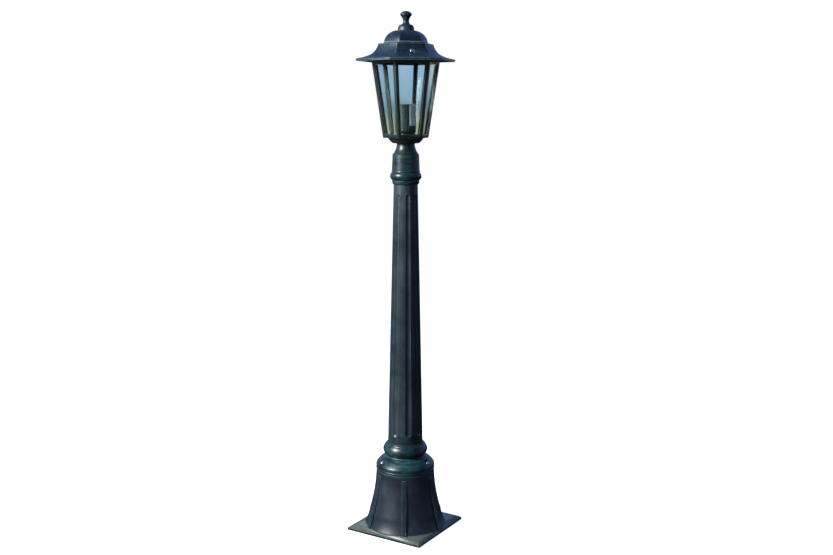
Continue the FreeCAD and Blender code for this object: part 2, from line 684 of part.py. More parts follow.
def window_cutter(name, low, high, low_half, high_half):
    """A tapered block for one window, pointing along X, with its sides square to the window."""
    wedge = document.addObject("Part::Wedge", name)
    for prop, value in (("Xmin", -low_half), ("Xmax", low_half),
                        ("X2min", -high_half), ("X2max", high_half),
                        ("Ymin", CAGE_FOOT + low), ("Ymax", CAGE_FOOT + high),
                        ("Zmin", cell.cage_mouth_radius), ("Zmax", cell.plate_side),
                        ("Z2min", cell.cage_mouth_radius), ("Z2max", cell.plate_side)):
        bind(wedge, prop, value)
    upright = FreeCAD.Rotation(Vector(0, 1, 0), Vector(0, 0, 1), Vector(1, 0, 0), "ZXY")
    wedge.Placement = FreeCAD.Placement(Vector(0, 0, 0), upright)
    return wedge


def facing(thing, count=6, name=None, first=30.0):
    """Copies of an object that points along X, one for each flat of the hexagon."""
    return around(thing, count, ZERO, first=first, name=name)


def roof_tabs():
    """Three slotted tabs, each with a leg from the head rail."""
    head = cell.cage_height
    leg_reach = cage_flat(head) - cell.cage_wall + 0.5
    inner = cell.tab_face - cell.tab_thickness
    leg_foot = CAGE_HEAD - cell.rail_leg_height
    leg = box("tab_leg", leg_reach - inner, cell.tab_width, cell.rail_leg_height)
    lift(leg, height=leg_foot, across=inner)
    plate = box("tab_plate", cell.tab_thickness, cell.tab_width, cell.tab_height + cell.rail_leg_height)
    lift(plate, height=leg_foot, across=inner)
    slot = box("tab_slot", cell.tab_thickness * 4, cell.tab_slot_width, cell.tab_height)
    lift(slot, height=ROOF_SCREW_LEVEL, across=inner - 3)
    slot_end = radial("tab_slot_end", cell.tab_slot_width / 2, inner - 3, cell.tab_face + 3, ROOF_SCREW_LEVEL)
    tab = cut("tab", fuse("tab_solid", [leg, plate]), fuse("tab_opening", [slot, slot_end]))
    return facing(tab, 3, "tab_at", first=-30.0)


def cage():
    """Six-sided frame: floor, sills, corner posts, head rail and the tabs that hold the roof."""
    head = cell.cage_height
    outer = hexagon_layer("cage_outer", ZERO, ZERO, head)
    inner = hexagon_layer("cage_inner", cell.cage_wall, cell.cage_floor, head + 1.0)
    mouth = cylinder("cage_mouth", cell.cage_mouth_radius, cell.cage_floor * 4, CAGE_FOOT - 5)
    low = cell.sill_height
    high = head - cell.lintel_height
    low_half = cage_flat(low) * cell.hex_half_side - cell.post_foot_leg
    high_half = cage_flat(high) * cell.hex_half_side - cell.post_head_leg
    windows = facing(window_cutter("window", low, high, low_half, high_half), 6, "window_at")
    hole = cylinder("cage_hole", cell.rim_screw_radius + cell.hole_gap, cell.cage_floor * 4)
    holes = around(hole, 4, cell.rim_screw_reach, height=CAGE_FOOT - 5, name="cage_hole_at")
    frame = cut("cage_frame", outer, fuse("cage_openings", [inner, mouth] + windows + holes))
    keep(lift(fuse("cage_casting", [frame] + roof_tabs()), turn=cell.lantern_turn), "lantern_cage")


def panes():
    """Six flat panes, each in its own node."""
    low = cell.cage_floor + cell.pane_gap
    high = cell.cage_height - cell.lintel_height + 0.9
    inset = cell.cage_wall + cell.pane_gap
    outer = hexagon_layer("pane_outer", inset, low, high)
    inner = hexagon_layer("pane_inner", inset + cell.pane_thickness, low - 1.0, high + 1.0)
    sheet_of_glass = cut("pane_layer", outer, inner)
    clear = inset + cell.pane_thickness
    low_half = (cage_flat(low) - clear) * cell.hex_half_side - cell.pane_gap * 2
    high_half = (cage_flat(high) - clear) * cell.hex_half_side - cell.pane_gap * 2
    wedge = window_cutter("pane_wedge", low, high, low_half, high_half)
    for index, place in enumerate(facing(wedge, 6, "pane_wedge_at"), start=1):
        pane = common("pane_solid_%d" % index, [sheet_of_glass, place])
        keep(lift(pane, turn=cell.lantern_turn), "glass_pane_%d" % index)


def glazing_beads():
    """Rubber cord pressed into each inside corner, behind the edges of two panes."""
    clear = cell.cage_wall + cell.pane_gap + cell.pane_thickness
    low = cell.cage_floor + 1.0
    high = cell.cage_height - cell.lintel_height - 1.0
    inwards = (cell.glazing_bead_radius + cell.pane_gap) / cell.hex_flat
    sections = []
    for name, height in (("bead_low", low), ("bead_high", high)):
        circle = document.addObject("Part::Circle", name)
        bind(circle, "Radius", cell.glazing_bead_radius)
        reach = (cage_flat(height) - clear) / cell.hex_flat - inwards
        sections.append(lift(circle, height=CAGE_FOOT + height, across=reach))
    bead = document.addObject("Part::Loft", "glazing_bead")
    bead.Sections = sections
    bead.Solid = True
    bead.Ruled = True
    beads = group("glazing_bead_set", around(bead, 6, ZERO, name="glazing_bead_at"))
    keep(lift(beads, turn=cell.lantern_turn), "glazing_beads")


def cage_screws():
    """Four screws through the cage's floor into the fitter's rim; two of them hold the bridge."""
    screw = pan_screw("rim_screw", cell.rim_screw_radius - 0.05, cell.cage_floor + cell.rim_screw_depth,
                      cell.rim_head_radius, cell.rim_head_height)
    floor = CAGE_FOOT + cell.cage_floor
    pair = around(screw, 2, cell.rim_screw_reach, first=90, height=floor, name="rim_screw_at")
    keep(lift(group("rim_screw_set", pair), turn=cell.lantern_turn), "cage_screws")
    longer = pan_screw("bridge_screw", cell.rim_screw_radius - 0.05,
                       cell.cage_floor + cell.bridge_thickness + cell.rim_screw_depth,
                       cell.rim_head_radius, cell.rim_head_height)
    pair = around(longer, 2, cell.rim_screw_reach, height=BRIDGE_TOP, name="bridge_screw_at")
    keep(lift(group("bridge_screw_set", pair), turn=cell.lantern_turn), "bridge_screws")


def bridge():
    """Steel strap across the cage's floor that carries the lamp holder."""
    strap = box("bridge_strap", cell.bridge_length, cell.bridge_width, cell.bridge_thickness)
    strap = lift(strap, height=CAGE_FOOT + cell.cage_floor)
    eye = cylinder("bridge_eye", cell.bridge_hole_radius, 12.0, CAGE_FOOT)
    hole = cylinder("bridge_hole", cell.rim_screw_radius + cell.hole_gap, 12.0)
    holes = around(hole, 2, cell.rim_screw_reach, height=CAGE_FOOT, name="bridge_hole_at")
    small = cylinder("bridge_small_hole", cell.holder_screw_radius + cell.hole_gap, 12.0)
    holes += around(small, 2, cell.holder_screw_reach, height=CAGE_FOOT, name="bridge_small_hole_at")
    plate = cut("bridge_drilled", strap, fuse("bridge_openings", [eye] + holes))
    keep(lift(plate, turn=cell.lantern_turn), "holder_bridge")


def holder_screws():
    """Two screws up through the bridge into the holder's base."""
    length = cell.bridge_thickness + cell.holder_screw_depth
    screw = pan_screw("holder_screw", cell.holder_screw_radius - 0.05, length,
                      cell.holder_screw_head, Size(1.8, "1.8"))
    hanging = document.addObject("Part::Compound", "holder_screw_hanging")
    hanging.Links = [screw]
    hanging.Placement = FreeCAD.Placement(Vector(0, 0, 0), FreeCAD.Rotation(Vector(1, 0, 0), 180))
    under = CAGE_FOOT + cell.cage_floor
    pair = around(hanging, 2, cell.holder_screw_reach, height=under, name="holder_screw_at")
    keep(lift(group("holder_screw_set", pair), turn=cell.lantern_turn), "holder_screws")


def lamp_holder():
    """Moulded holder in two parts, base and skirt, with its screw shell, contact and blank plate."""
    low = BRIDGE_TOP
    top = low + cell.holder_height
    floor = low + cell.holder_floor_height
    outer = cell.holder_radius
    skirt = cell.holder_skirt_radius
    eye = cell.bridge_hole_radius
    wire = cell.flex_radius + 1.0
    recess = cell.contact_radius + 0.2
    recess_floor = floor - cell.contact_sink
    base = turned("holder_body", [
        (eye, low), (cell.holder_base_radius, low), (cell.holder_base_radius, low + 3.0),
        Through(outer - 1.4, low + 5.4), (outer, low + 10.0), (outer, floor), (recess, floor),
        (recess, recess_floor), (wire, recess_floor), (wire, recess_floor - 3.0), (eye, recess_floor - 3.0)])
    thread = cylinder("holder_thread", cell.holder_screw_radius, cell.holder_screw_depth + 1)
    threads = around(thread, 2, cell.holder_screw_reach, height=low - 0.5, name="holder_thread_at")
    drilled = cut("holder_drilled", base, fuse("holder_threads", threads))
    keep(lift(drilled, turn=cell.lantern_turn), "lamp_holder")
    tube = turned("skirt_tube", [
        (skirt, floor), (outer, floor), (outer, top - 1.0), (outer - 1.0, top), (skirt, top)])
    keep(tube, "holder_skirt")
    shell_outer = cell.socket_radius + cell.shell_wall
    shell_top = floor + cell.shell_height
    shell = turned("shell_tube", [
        (cell.socket_radius, floor), (skirt - 0.1, floor), (skirt - 0.1, floor + 1.2),
        (shell_outer, floor + 1.2), (shell_outer, shell_top), (cell.socket_radius, shell_top)])
    keep(shell, "screw_shell")
    contact = turned("contact_disc", [
        (ZERO, recess_floor), (cell.contact_radius, recess_floor), (cell.contact_radius, recess_floor + 1.0),
        (cell.flex_radius, recess_floor + 1.8), (ZERO, recess_floor + 2.8)])
    keep(contact, "centre_contact")
    face = outer + 0.02
    label_top = top - 1.5
    label_foot = label_top - cell.label_height
    label_face = face + cell.label_thickness
    label = turned("label_strip", [
        (face, label_foot), (label_face, label_foot), (label_face, label_top), (face, label_top)],
        cell.label_span)
    keep(lift(label, turn=cell.label_turn), "blank_plate")


def tie_tube():
    """Threaded tube that pulls the whole stack down, with its washer and nuts."""
    low = cell.yoke_height - cell.yoke_thickness - cell.tube_below_yoke
    nut_foot = PAN_FLOOR_TOP + cell.tie_washer_height
    high = nut_foot + cell.tie_nut_height + 1.0
    keep(turned("tie_tube_bar", [
        (cell.tube_bore_radius, low), (cell.tube_radius, low),
        (cell.tube_radius, high), (cell.tube_bore_radius, high)]), "tie_tube")
    snug = cell.tube_radius + 0.05
    keep(turned("tie_washer_ring", [
        (snug, PAN_FLOOR_TOP), (cell.tie_washer_radius, PAN_FLOOR_TOP),
        (cell.tie_washer_radius, nut_foot), (snug, nut_foot)]), "tie_washer")
    keep(nut("tie_nut_blank", cell.tie_nut_radius, cell.tie_nut_height, nut_foot, snug), "tie_nut")
    under = cell.yoke_height - cell.yoke_thickness - cell.tie_nut_height
    lower = nut("yoke_nut_low", cell.tie_nut_radius, cell.tie_nut_height, under, snug)
    upper = nut("yoke_nut_high", cell.tie_nut_radius, cell.tie_nut_height, cell.yoke_height, snug)
    keep(group("yoke_nut_pair", [lower, upper]), "yoke_nuts")


def nut(name, corner_radius, height, base, bore):
    """A six-sided nut on Z."""
    blank = hexagon_bar(name + "_blank", corner_radius, height, base)
    return cut(name, blank, cylinder(name + "_bore", bore, height + 4.0, base - 2.0))


def yoke():
    """Bent steel strap inside the bell: two feet with anchor holes, two legs and a top."""
    thick = cell.yoke_thickness
    half_span = cell.yoke_span / 2
    top = lift(box("yoke_top", cell.yoke_span, cell.yoke_width, thick), height=cell.yoke_height - thick)
    pieces = [top]
    for side, name in ((1, "right"), (-1, "left")):
        leg_place = half_span - thick if side > 0 else -half_span
        leg = box("yoke_leg_" + name, thick, cell.yoke_width, cell.yoke_height)
        pieces.append(lift(leg, across=leg_place))
        foot_place = half_span - thick if side > 0 else -half_span - cell.foot_length
        foot = box("yoke_foot_" + name, cell.foot_length + thick, cell.yoke_width, thick)
        pieces.append(lift(foot, across=foot_place))
    eye = cylinder("yoke_eye", cell.tube_radius + cell.tube_gap, 12.0, cell.yoke_height - 8)
    holes = []
    for across in (1, -1):
        for along in (1, -1):
            hole = cylinder("anchor_hole_%d" % (len(holes) + 1), cell.anchor_radius, 12.0, as_size(-4))
            holes.append(lift(hole, across=cell.anchor_x / 2 * across, along=cell.anchor_y / 2 * along))
    strap = cut("yoke_strap", fuse("yoke_solid", pieces), fuse("yoke_openings", [eye] + holes))
    keep(strap, "ground_yoke")


def terminals():
    """Terminal block on the yoke's leg, its three clamp screws, and the earth screw."""
    leg_face = cell.yoke_span / 2 - cell.yoke_thickness
    near = leg_face - cell.terminal_depth
    middle = leg_face - cell.terminal_depth / 2
    block = box("terminal_body", cell.terminal_depth, cell.terminal_length, cell.terminal_height)
    lift(block, height=cell.terminal_lift, across=near)
    entries = []
    screws = []
    seat = near + 3.0
    mid_height = cell.terminal_lift + cell.terminal_height / 2
    for step in (-1, 0, 1):
        along = cell.terminal_pitch * step
        entry = cylinder("wire_entry_%d" % (step + 2), 2.2, cell.terminal_height + 4, cell.terminal_lift - 2)
        entries.append(lift(entry, across=middle, along=along))
        well = radial("screw_well_%d" % (step + 2), 2.05, near - 1, middle, mid_height)
        entries.append(lift(well, along=along))
        screw = radial("clamp_screw_%d" % (step + 2), 2.0, seat, middle - 2.4, mid_height)
        screws.append(lift(screw, along=along))
    keep(cut("terminal_drilled", block, fuse("terminal_openings", entries)), "terminal_block")
    keep(group("clamp_screw_set", screws), "terminal_screws")
    earth = radial("earth_bar", 3.6, -leg_face, -leg_face + 2.6, cell.terminal_lift + 20)
    keep(earth, "earth_screw")


def inner_flex():
    """The flex inside the post, from the terminal block up the tie tube to the lamp holder.

    It leaves the block upright, swings over to the axis in two equal arcs, and runs straight up."""
    offset = number_of(cell.yoke_span / 2 - cell.yoke_thickness - cell.terminal_depth / 2)
    foot = number_of(cell.terminal_lift + cell.terminal_height)
    swing_foot = foot + 2.0
    swing_head = number_of(cell.yoke_height - cell.yoke_thickness - cell.tube_below_yoke)
    top = number_of(BRIDGE_TOP + cell.holder_floor_height - cell.contact_sink)
    rise = swing_head - swing_foot
    bend_radius = (rise * rise + offset * offset) / (4 * offset)
    half_swing = math.asin(rise / 2 / bend_radius) / 2
    sideways = bend_radius * (1 - math.cos(half_swing))
    upwards = bend_radius * math.sin(half_swing)
    start = Vector(offset, 0, foot)
    swing_start = Vector(offset, 0, swing_foot)
    crossing = Vector(offset / 2, 0, swing_foot + rise / 2)
    swing_end = Vector(0, 0, swing_head)
    first_bend = Vector(offset - sideways, 0, swing_foot + upwards)
    second_bend = Vector(sideways, 0, swing_head - upwards)
    route = [
        Part.LineSegment(start, swing_start),
        Part.Arc(swing_start, first_bend, crossing),
        Part.Arc(crossing, second_bend, swing_end),
        Part.LineSegment(swing_end, Vector(0, 0, top)),
    ]
    path = Part.Wire([stretch.toShape() for stretch in route])
    section = Part.Wire([Part.Circle(start, UP, number_of(cell.flex_radius)).toShape()])
    flex = document.addObject("Part::Feature", "flex_sweep")
    flex.Shape = path.makePipeShell([section], True, True)
    keep(flex, "inner_flex")


def head_seal():
    """Six-sided rubber seal on the cage's head."""
    outer = frustum("seal_outer_bar", 6, cell.seal_outer / cell.hex_flat, CAGE_HEAD,
                    cell.seal_outer / cell.hex_flat, ROOF_FOOT)
    inner = frustum("seal_inner_bar", 6, cell.seal_inner / cell.hex_flat, CAGE_HEAD - 1,
                    cell.seal_inner / cell.hex_flat, ROOF_FOOT + 1)
    keep(lift(cut("seal_ring", outer, inner), turn=cell.lantern_turn), "head_seal")


def hexagon_moulding(name, half_outline):
    """A six-sided solid whose every flat has the half outline's profile.

    The profile, from the axis outwards and back, is mirrored and padded across, three times at
    60 degrees to each other, and the solid is what the three have in common."""
    right = half_outline
    left = []
    for item in reversed(half_outline):
        if isinstance(item, Through):
            left.append(Through(-item.point[0], item.point[1]))
        elif number_of(item[0]) != 0:
            left.append((-item[0], item[1]))
    outline = [item for item in right if isinstance(item, Through) or number_of(item[0]) != 0] + left
    slabs = []
    for step in range(3):
        sketch = document.addObject("Sketcher::SketchObject", "%s_profile_%d" % (name, step + 1))
        draw_outline(sketch, outline)
        upright = FreeCAD.Rotation(Vector(1, 0, 0), 90)
        azimuth = FreeCAD.Rotation(UP, 30 + 60 * step)
        sketch.Placement = FreeCAD.Placement(Vector(0, 0, 0), azimuth.multiply(upright))
        slab = document.addObject("Part::Extrusion", "%s_slab_%d" % (name, step + 1))
        slab.Base = sketch
        slab.DirMode = "Normal"
        slab.Symmetric = True
        slab.Solid = True
        bind(slab, "LengthFwd", cell.plate_side * 2)
        slabs.append(slab)
    return common(name, slabs)


def brim_slope(inset, drop):
    """The roof's hollow slope above the brim, pulled in and down for its inner face."""
    return [
        (cell.brim_flat - 2.0 - inset, ROOF_FOOT + cell.brim_edge + 1.8 - drop),
        Through(cell.ledge_flat + 22.6 - inset, ROOF_FOOT + cell.brim_edge + 5.0 - drop),
        (cell.ledge_flat + 11.0 - inset, ROOF_FOOT + 14.0 - drop),
    ]


def roof_shell():
    """Flared six-sided roof with a seat under it and three screw bosses."""
    edge = [(ZERO, ROOF_FOOT), (cell.brim_flat, ROOF_FOOT), (cell.brim_flat, ROOF_FOOT + cell.brim_edge)]
    neck = [Through(cell.ledge_flat + 4.6, ROOF_FOOT + 21.2), (cell.ledge_flat, DOME_FOOT - 1.5)]
    ledge = [(cell.ledge_flat - 1.2, DOME_FOOT - 0.5), (cell.dome_flat + 0.6, DOME_FOOT),
             (ZERO, DOME_FOOT)]
    outer = hexagon_moulding("roof_outer", edge + brim_slope(ZERO, ZERO) + neck + ledge)
    wall = cell.roof_wall
    ceiling = DOME_FOOT - 2.0 - wall
    room = hexagon_moulding("roof_room", [
        (ZERO, ROOF_FOOT - 1), (cell.seat_inner, ROOF_FOOT - 1), (cell.seat_inner, ROOF_FOOT + 12.0),
        Through(cell.ledge_flat + 3.4 - wall, ROOF_FOOT + 18.8), (cell.ledge_flat - wall, ceiling),
        (ZERO, ceiling)])
    mouth = frustum("roof_mouth", 6, cell.roof_mouth_flat / cell.hex_flat, ROOF_FOOT,
                    cell.roof_mouth_flat / cell.hex_flat, DOME_FOOT + 1)
    under = brim_slope(wall, cell.brim_sink)
    mouth_line = [(ZERO, ROOF_FOOT - 1), (cell.brim_flat - wall - 2, ROOF_FOOT - 1)]
    hollow = hexagon_moulding("brim_hollow", mouth_line + under + [(ZERO, ROOF_FOOT + 14.0 - cell.brim_sink)])
    seat = frustum("seat_bar", 6, cell.seat_outer / cell.hex_flat, ROOF_FOOT - 2,
                   cell.seat_outer / cell.hex_flat, DOME_FOOT)
    brim_groove = cut("brim_groove", hollow, seat)
    shell = cut("roof_hollowed", outer, fuse("roof_openings", [room, mouth, brim_groove]))
    boss_face = cell.tab_face + cell.slip_gap
    level = ROOF_SCREW_LEVEL
    boss = radial("boss_bar", cell.boss_radius, boss_face, cell.brim_flat, level)
    bosses = common("bosses", [fuse("boss_bars", facing(boss, 3, "boss_at", first=-30.0)), outer])
    hole = radial("roof_hole", cell.roof_screw_radius + cell.hole_gap, boss_face - 5, cell.brim_flat, level)
    seat_radius = cell.roof_head_radius + cell.head_gap
    seat_hole = radial("roof_seat", seat_radius, cell.roof_seat_flat, cell.brim_flat, level)
    openings = facing(hole, 3, "roof_hole_at", first=-30.0)
    openings += facing(seat_hole, 3, "roof_seat_at", first=-30.0)
    roof = cut("roof_drilled", fuse("roof_bossed", [shell, bosses]), fuse("roof_holes", openings))
    keep(lift(roof, turn=cell.lantern_turn), "roof_shell")


def roof_dome():
    """Six-sided dome on the roof's ledge."""
    top = FINIAL_FOOT
    outer = hexagon_moulding("dome_outer", [
        (ZERO, DOME_FOOT), (cell.dome_flat, DOME_FOOT), (cell.dome_flat, DOME_FOOT + 1.6),
        (cell.dome_flat - 1.0, DOME_FOOT + 2.2), Through(cell.dome_flat - 6.2, DOME_FOOT + 15.2),
        (cell.dome_top_flat, top), (ZERO, top)])
    wall = cell.dome_wall
    inner = hexagon_moulding("dome_inner", [
        (ZERO, DOME_FOOT - 1), (cell.dome_flat - 1.0 - wall, DOME_FOOT - 1),
        (cell.dome_flat - 1.0 - wall, DOME_FOOT + 1.0),
        Through(cell.dome_flat - 6.0 - wall, DOME_FOOT + 12.4),
        (cell.dome_top_flat - 3.0, top - wall), (ZERO, top - wall)])
    eye = cylinder("dome_eye", cell.stud_radius + cell.hole_gap, cell.dome_height, DOME_FOOT + 5)
    dome = cut("dome_hollowed", outer, fuse("dome_openings", [inner, eye]))
    keep(lift(dome, turn=cell.lantern_turn), "roof_dome")


def finial():
    """Turned finial; its stud goes down through the dome to a strap and nut under the roof."""
    low = FINIAL_FOOT
    collar = cell.finial_collar_radius
    neck = cell.finial_neck_radius
    knob = cell.finial_knob_radius
    top = low + cell.finial_height
    blind = low + cell.stud_grip
    bore = cell.stud_radius + cell.stud_gap
    outline = [
        (bore, low), (collar, low), (collar, low + 1.6), Through(collar - 0.8, low + 6.6),
        (collar - 3.0, low + 10.4), (neck + 2.8, low + 12.0), Through(neck + 0.8, low + 14.2),
        (neck, low + 17.6), Through(neck + 1.4, low + 23.4), (knob - 0.8, low + 28.4),
        Through(knob, low + 30.6), (knob - 1.2, low + 33.0), Through(knob - 6.0, top - 0.85),
        (Size(1, "1"), top), (ZERO, top), (ZERO, blind), (bore, blind),
    ]
    keep(turned("finial_bar", outline), "finial")
    ceiling = DOME_FOOT - 2.0 - cell.roof_wall
    strap_foot = ceiling - cell.strap_thickness
    strap = box("roof_strap_bar", cell.strap_length, cell.strap_width, cell.strap_thickness)
    lift(strap, height=strap_foot)
    eye = cylinder("roof_strap_eye", cell.stud_radius + cell.hole_gap, 8.0, strap_foot - 2)
    keep(lift(cut("roof_strap_drilled", strap, eye), turn=cell.lantern_turn), "roof_strap")
    nut_foot = strap_foot - cell.stud_nut_height
    stud_foot = nut_foot - 2.0
    keep(cylinder("stud_bar", cell.stud_radius, blind - 0.5 - stud_foot, stud_foot), "finial_stud")
    snug = cell.stud_radius + 0.05
    keep(nut("stud_nut_blank", cell.stud_nut_radius, cell.stud_nut_height, nut_foot, snug), "finial_nut")


def roof_screws():
    """Three screws and their nuts: slackened, they lift out of the slotted tabs with the roof."""
    tip = cell.tab_face - cell.tab_thickness - cell.slip_gap - cell.roof_nut_height - 0.8
    blank = pan_screw("roof_screw", cell.roof_screw_radius, cell.roof_seat_flat - tip,
                      cell.roof_head_radius, cell.roof_head_height)
    lying = document.addObject("Part::Compound", "roof_screw_lying")
    lying.Links = [blank]
    lying.Placement = FreeCAD.Placement(Vector(0, 0, 0), FreeCAD.Rotation(Vector(0, 1, 0), 90))
    lift(lying, height=ROOF_SCREW_LEVEL, across=cell.roof_seat_flat)
    screws = group("roof_screw_set", facing(lying, 3, "roof_screw_at", first=-30.0))
    keep(lift(screws, turn=cell.lantern_turn), "roof_screws")
    face = cell.tab_face - cell.tab_thickness - cell.slip_gap
    bore = cell.roof_screw_radius + 0.05
    upright_nut = nut("roof_nut", cell.roof_nut_radius, cell.roof_nut_height, ZERO, bore)
    lying_nut = document.addObject("Part::Compound", "roof_nut_lying")
    lying_nut.Links = [upright_nut]
    lying_nut.Placement = FreeCAD.Placement(Vector(0, 0, 0), FreeCAD.Rotation(Vector(0, 1, 0), 90))
    lift(lying_nut, height=ROOF_SCREW_LEVEL, across=face - cell.roof_nut_height)
    nuts = group("roof_nut_set", facing(lying_nut, 3, "roof_nut_at", first=-30.0))
    keep(lift(nuts, turn=cell.lantern_turn), "roof_nuts")


def write_parts():
    """Checks every object and shape, then writes one STEP file for each sub-part."""
    document.recompute()
    for thing in document.Objects:
        if "Invalid" in thing.State or "Error" in thing.State:
            raise RuntimeError("%s failed: %s" % (thing.Name, thing.State))
    for part in finished:
        if part.Shape.isNull() or not part.Shape.isValid() or not part.Shape.Solids:
            raise RuntimeError("%s has no valid solid" % part.Label)
    os.makedirs("parts", exist_ok=True)
    for part in finished:
        part.Shape.exportStep("parts/%s.step" % part.Label)
        print("%-18s %d solid(s) %10.1f mm3" % (part.Label, len(part.Shape.Solids), part.Shape.Volume))


def main():
    pedestal()
    shoulder()
    shoulder_screws()
    foot_ring()
    shaft()
    crown()
    crown_washer()
    fitter()
    cage()
    panes()
    glazing_beads()
    cage_screws()
    bridge()
    holder_screws()
    lamp_holder()
    tie_tube()
    yoke()
    terminals()
    inner_flex()
    head_seal()
    roof_shell()
    roof_dome()
    finial()
    roof_screws()
    write_parts()


main()
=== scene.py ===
import json
import math

import bmesh
import bpy
from mathutils import Euler, Matrix, Vector


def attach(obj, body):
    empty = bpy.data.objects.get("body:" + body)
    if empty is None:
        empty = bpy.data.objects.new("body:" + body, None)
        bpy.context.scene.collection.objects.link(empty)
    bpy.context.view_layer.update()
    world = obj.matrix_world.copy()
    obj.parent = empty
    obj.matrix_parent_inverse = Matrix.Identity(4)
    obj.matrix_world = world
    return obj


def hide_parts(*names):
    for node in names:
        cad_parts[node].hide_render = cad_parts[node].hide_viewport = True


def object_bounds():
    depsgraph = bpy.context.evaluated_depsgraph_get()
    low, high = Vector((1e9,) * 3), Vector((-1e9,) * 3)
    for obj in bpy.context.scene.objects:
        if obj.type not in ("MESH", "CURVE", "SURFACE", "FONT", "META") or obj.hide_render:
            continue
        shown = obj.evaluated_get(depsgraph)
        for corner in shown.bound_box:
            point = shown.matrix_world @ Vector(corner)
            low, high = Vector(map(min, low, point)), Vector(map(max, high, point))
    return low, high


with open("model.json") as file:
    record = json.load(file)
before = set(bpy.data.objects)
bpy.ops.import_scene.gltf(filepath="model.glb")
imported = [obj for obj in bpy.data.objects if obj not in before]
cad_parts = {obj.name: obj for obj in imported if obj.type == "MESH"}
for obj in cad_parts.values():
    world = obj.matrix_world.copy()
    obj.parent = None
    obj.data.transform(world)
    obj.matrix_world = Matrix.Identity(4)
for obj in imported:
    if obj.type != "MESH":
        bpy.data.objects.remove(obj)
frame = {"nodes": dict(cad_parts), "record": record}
START_BOUNDS = [list(corner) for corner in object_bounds()]
MM = 0.001


# ---------------------------------------------------------------- colours and shader nodes

def linear(hex_colour):
    """An sRGB hex colour as linear red, green, blue and alpha."""
    channels = [int(hex_colour[i:i + 2], 16) / 255 for i in (0, 2, 4)]
    return [c / 12.92 if c <= 0.04045 else ((c + 0.055) / 1.055) ** 2.4 for c in channels] + [1.0]


def add(tree, kind, inputs=None, stops=None, **settings):
    """Adds a shader node. An input is given a value, or linked when it is another node's output.

    stops are a colour ramp's positions and colours. Where inputs share a name they are numbered: on a
    colour Mix, 0 is the factor and 6 and 7 are the two colours."""
    made = tree.nodes.new(kind)
    for name, value in settings.items():
        setattr(made, name, value)
    for name, value in (inputs or {}).items():
        if isinstance(value, bpy.types.NodeSocket):
            tree.links.new(value, made.inputs[name])
        else:
            made.inputs[name].default_value = value
    for number, (position, colour) in enumerate(stops or []):
        points = made.color_ramp.elements
        point = points[number] if number < len(points) else points.new(position)
        point.position = position
        point.color = colour
    return made


def new_material(name, **values):
    """A material with its Principled shader, as (material, tree, shader, object coordinates)."""
    material = bpy.data.materials.new(name)
    material.use_nodes = True
    tree = material.node_tree
    tree.nodes.clear()
    inputs = {key.replace("_", " "): value for key, value in values.items()}
    shader = add(tree, "ShaderNodeBsdfPrincipled", inputs)
    add(tree, "ShaderNodeOutputMaterial", {"Surface": shader.outputs["BSDF"]})
    return material, tree, shader, add(tree, "ShaderNodeTexCoord").outputs["Object"]


BLACK = [0.0, 0.0, 0.0, 1.0]
WHITE = [1.0, 1.0, 1.0, 1.0]


# ---------------------------------------------------------------- materials

